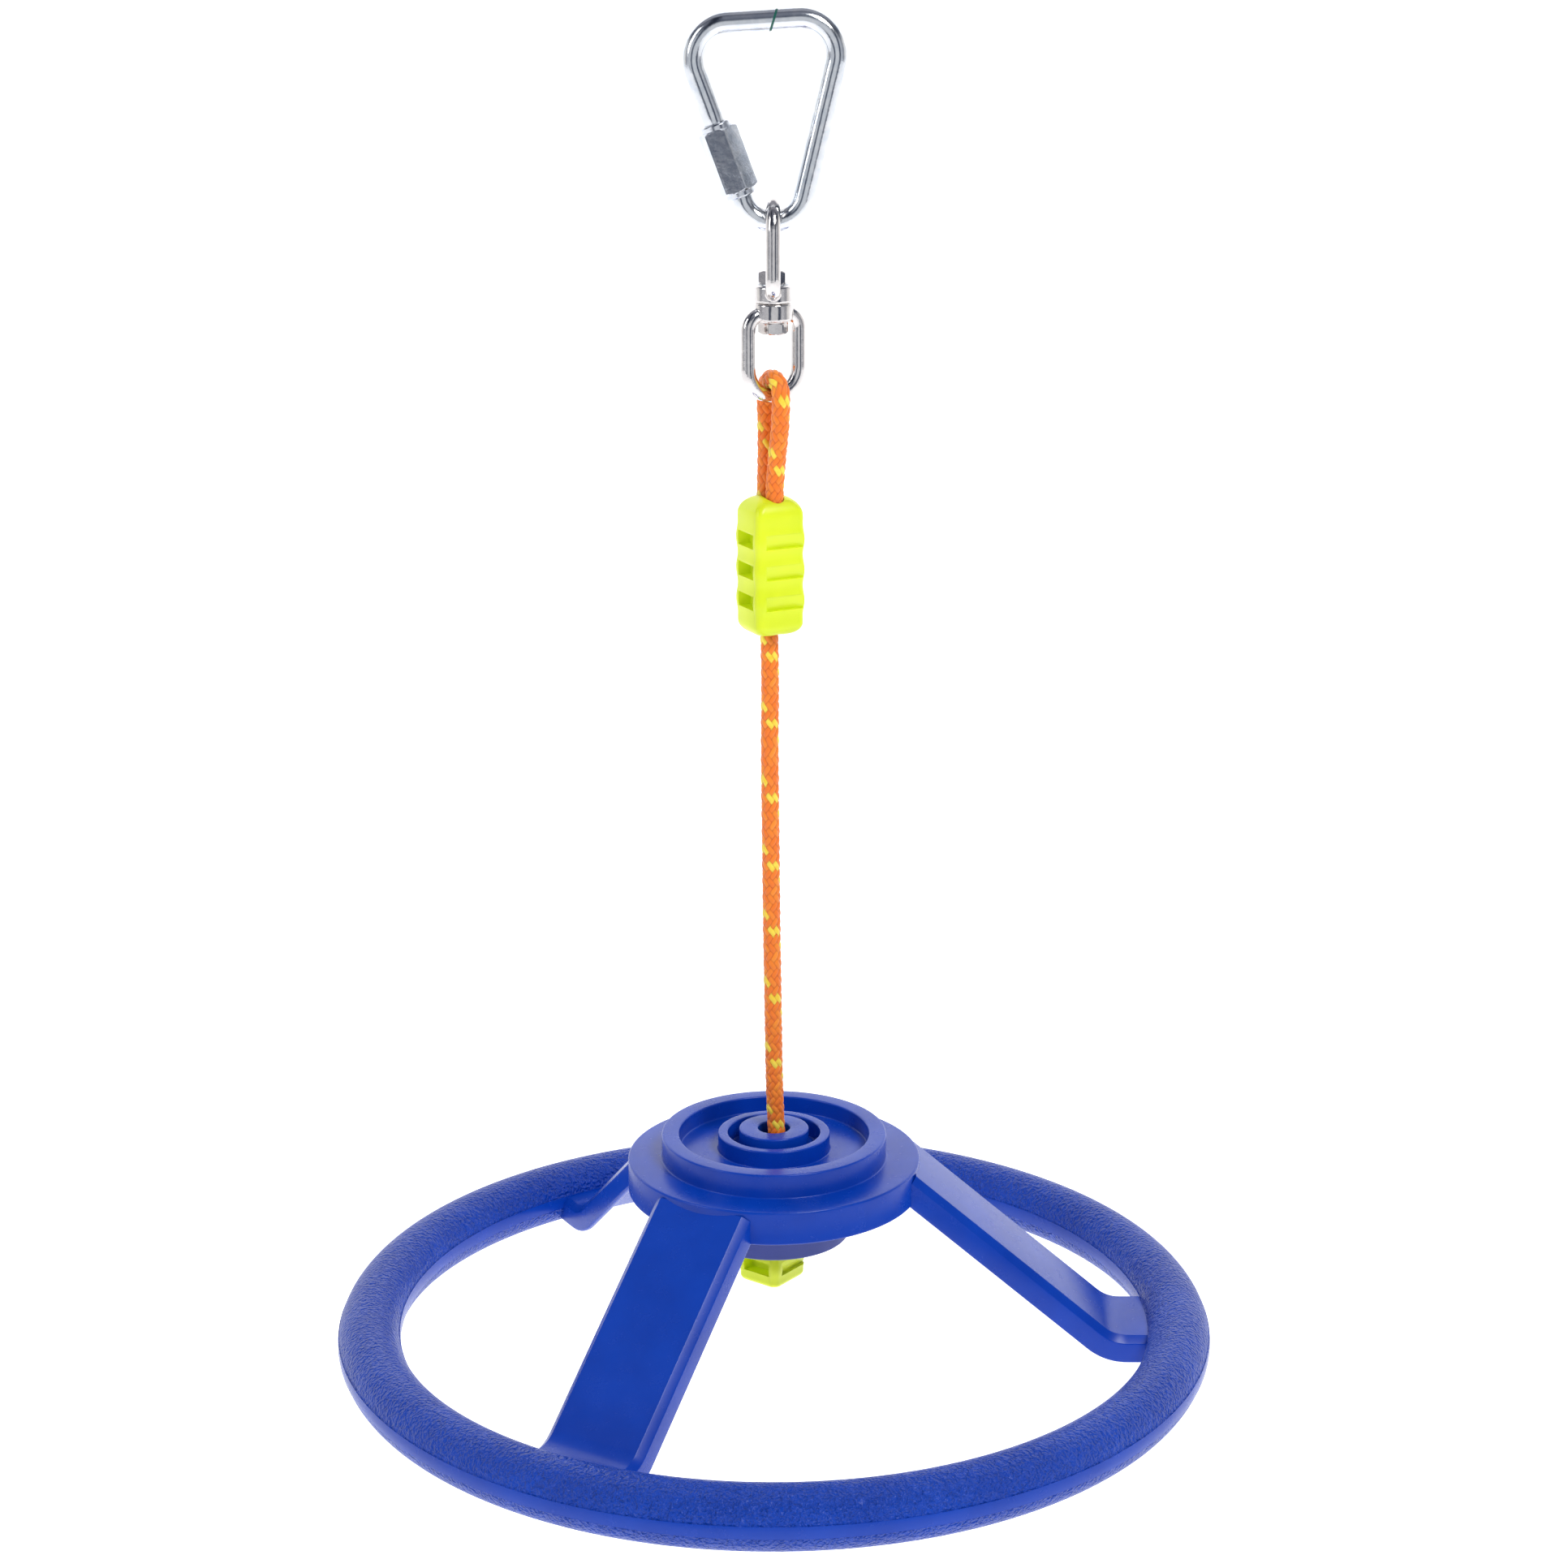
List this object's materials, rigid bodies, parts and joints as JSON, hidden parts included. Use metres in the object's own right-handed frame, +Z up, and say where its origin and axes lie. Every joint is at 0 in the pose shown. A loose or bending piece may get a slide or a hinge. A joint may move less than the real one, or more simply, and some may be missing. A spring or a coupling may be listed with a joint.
{
  "type": "hanging spinning wheel for a play rig",
  "caption": "Blue spinning hand wheel with sloping spokes, hung by a braided rope with lime connectors from a swivel and a quick link.",
  "frame": {"origin": "hang point, where the anchor touches the inside of the quick link's top bar", "axes": "+Z up along the rope, +X along one spoke and across the quick link, +Y away from the front"},
  "size_m": [0.35, 0.35, 0.5306],
  "materials": {
    "zinc_steel": "bright zinc",
    "stainless": "polished",
    "bearing_steel": "ground",
    "rope_orange": "braided with yellow flecks",
    "lime_plastic": "satin",
    "blue_gloss": "gloss",
    "blue_grain": "leather grain"
  },
  "bodies": {
    "link": {"link_body": "zinc_steel"},
    "sleeve_nut": {"link_sleeve_nut": "zinc_steel"},
    "upper_eye": {"swivel_upper_eye": "stainless", "swivel_bottom_race": "bearing_steel"},
    "bearing_balls": {"swivel_balls": "bearing_steel"},
    "lower_eye": {"swivel_lower_eye": "stainless", "swivel_bolt": "stainless", "swivel_nut": "stainless", "swivel_top_race": "bearing_steel"},
    "rope_and_connectors": {"rope": "rope_orange", "upper_connector_body": "lime_plastic", "upper_connector_cover": "lime_plastic", "lower_connector_body": "lime_plastic", "lower_connector_cover": "lime_plastic"},
    "wheel": {"hub_plate": "blue_gloss", "hub_collar": "blue_gloss", "hub_ring": "blue_gloss", "hub_boss": "blue_gloss", "hub_skirt": "blue_gloss", "hub_socket": "blue_gloss", "spoke_right": "blue_gloss", "spoke_rear_left": "blue_gloss", "spoke_front_left": "blue_gloss", "rim": "blue_grain"}
  },
  "joints": [
    {"name": "sleeve_nut_travel", "type": "slide", "parent": "link", "child": "sleeve_nut", "axis": [-0.3483, 0, 0.9374], "range_m": [0, 0.0196]},
    {"name": "swivel_swing_on_link", "type": "hinge", "parent": "link", "child": "upper_eye", "pos_m": [0, 0, -0.06861], "axis": [1, 0, 0], "range_deg": [-60, 60]},
    {"name": "swivel_spin", "type": "hinge", "parent": "upper_eye", "child": "lower_eye", "pos_m": [0, 0, -0.0931], "axis": [0, 0, 1], "continuous": true},
    {"name": "ball_roll", "type": "hinge", "parent": "upper_eye", "child": "bearing_balls", "pos_m": [0, 0, -0.0931], "axis": [0, 0, 1], "continuous": true},
    {"name": "rope_swing_on_eye", "type": "hinge", "parent": "lower_eye", "child": "rope_and_connectors", "pos_m": [0, 0, -0.13286], "axis": [0.891, 0.454, 0], "range_deg": [-45, 45]},
    {"name": "wheel_lift_on_rope", "type": "slide", "parent": "rope_and_connectors", "child": "wheel", "axis": [0, 0, 1], "range_m": [0, 0.2]}
  ],
  "couplings": [
    {"joint": "ball_roll", "follows": "swivel_spin", "ratio": 0.5}
  ]
}
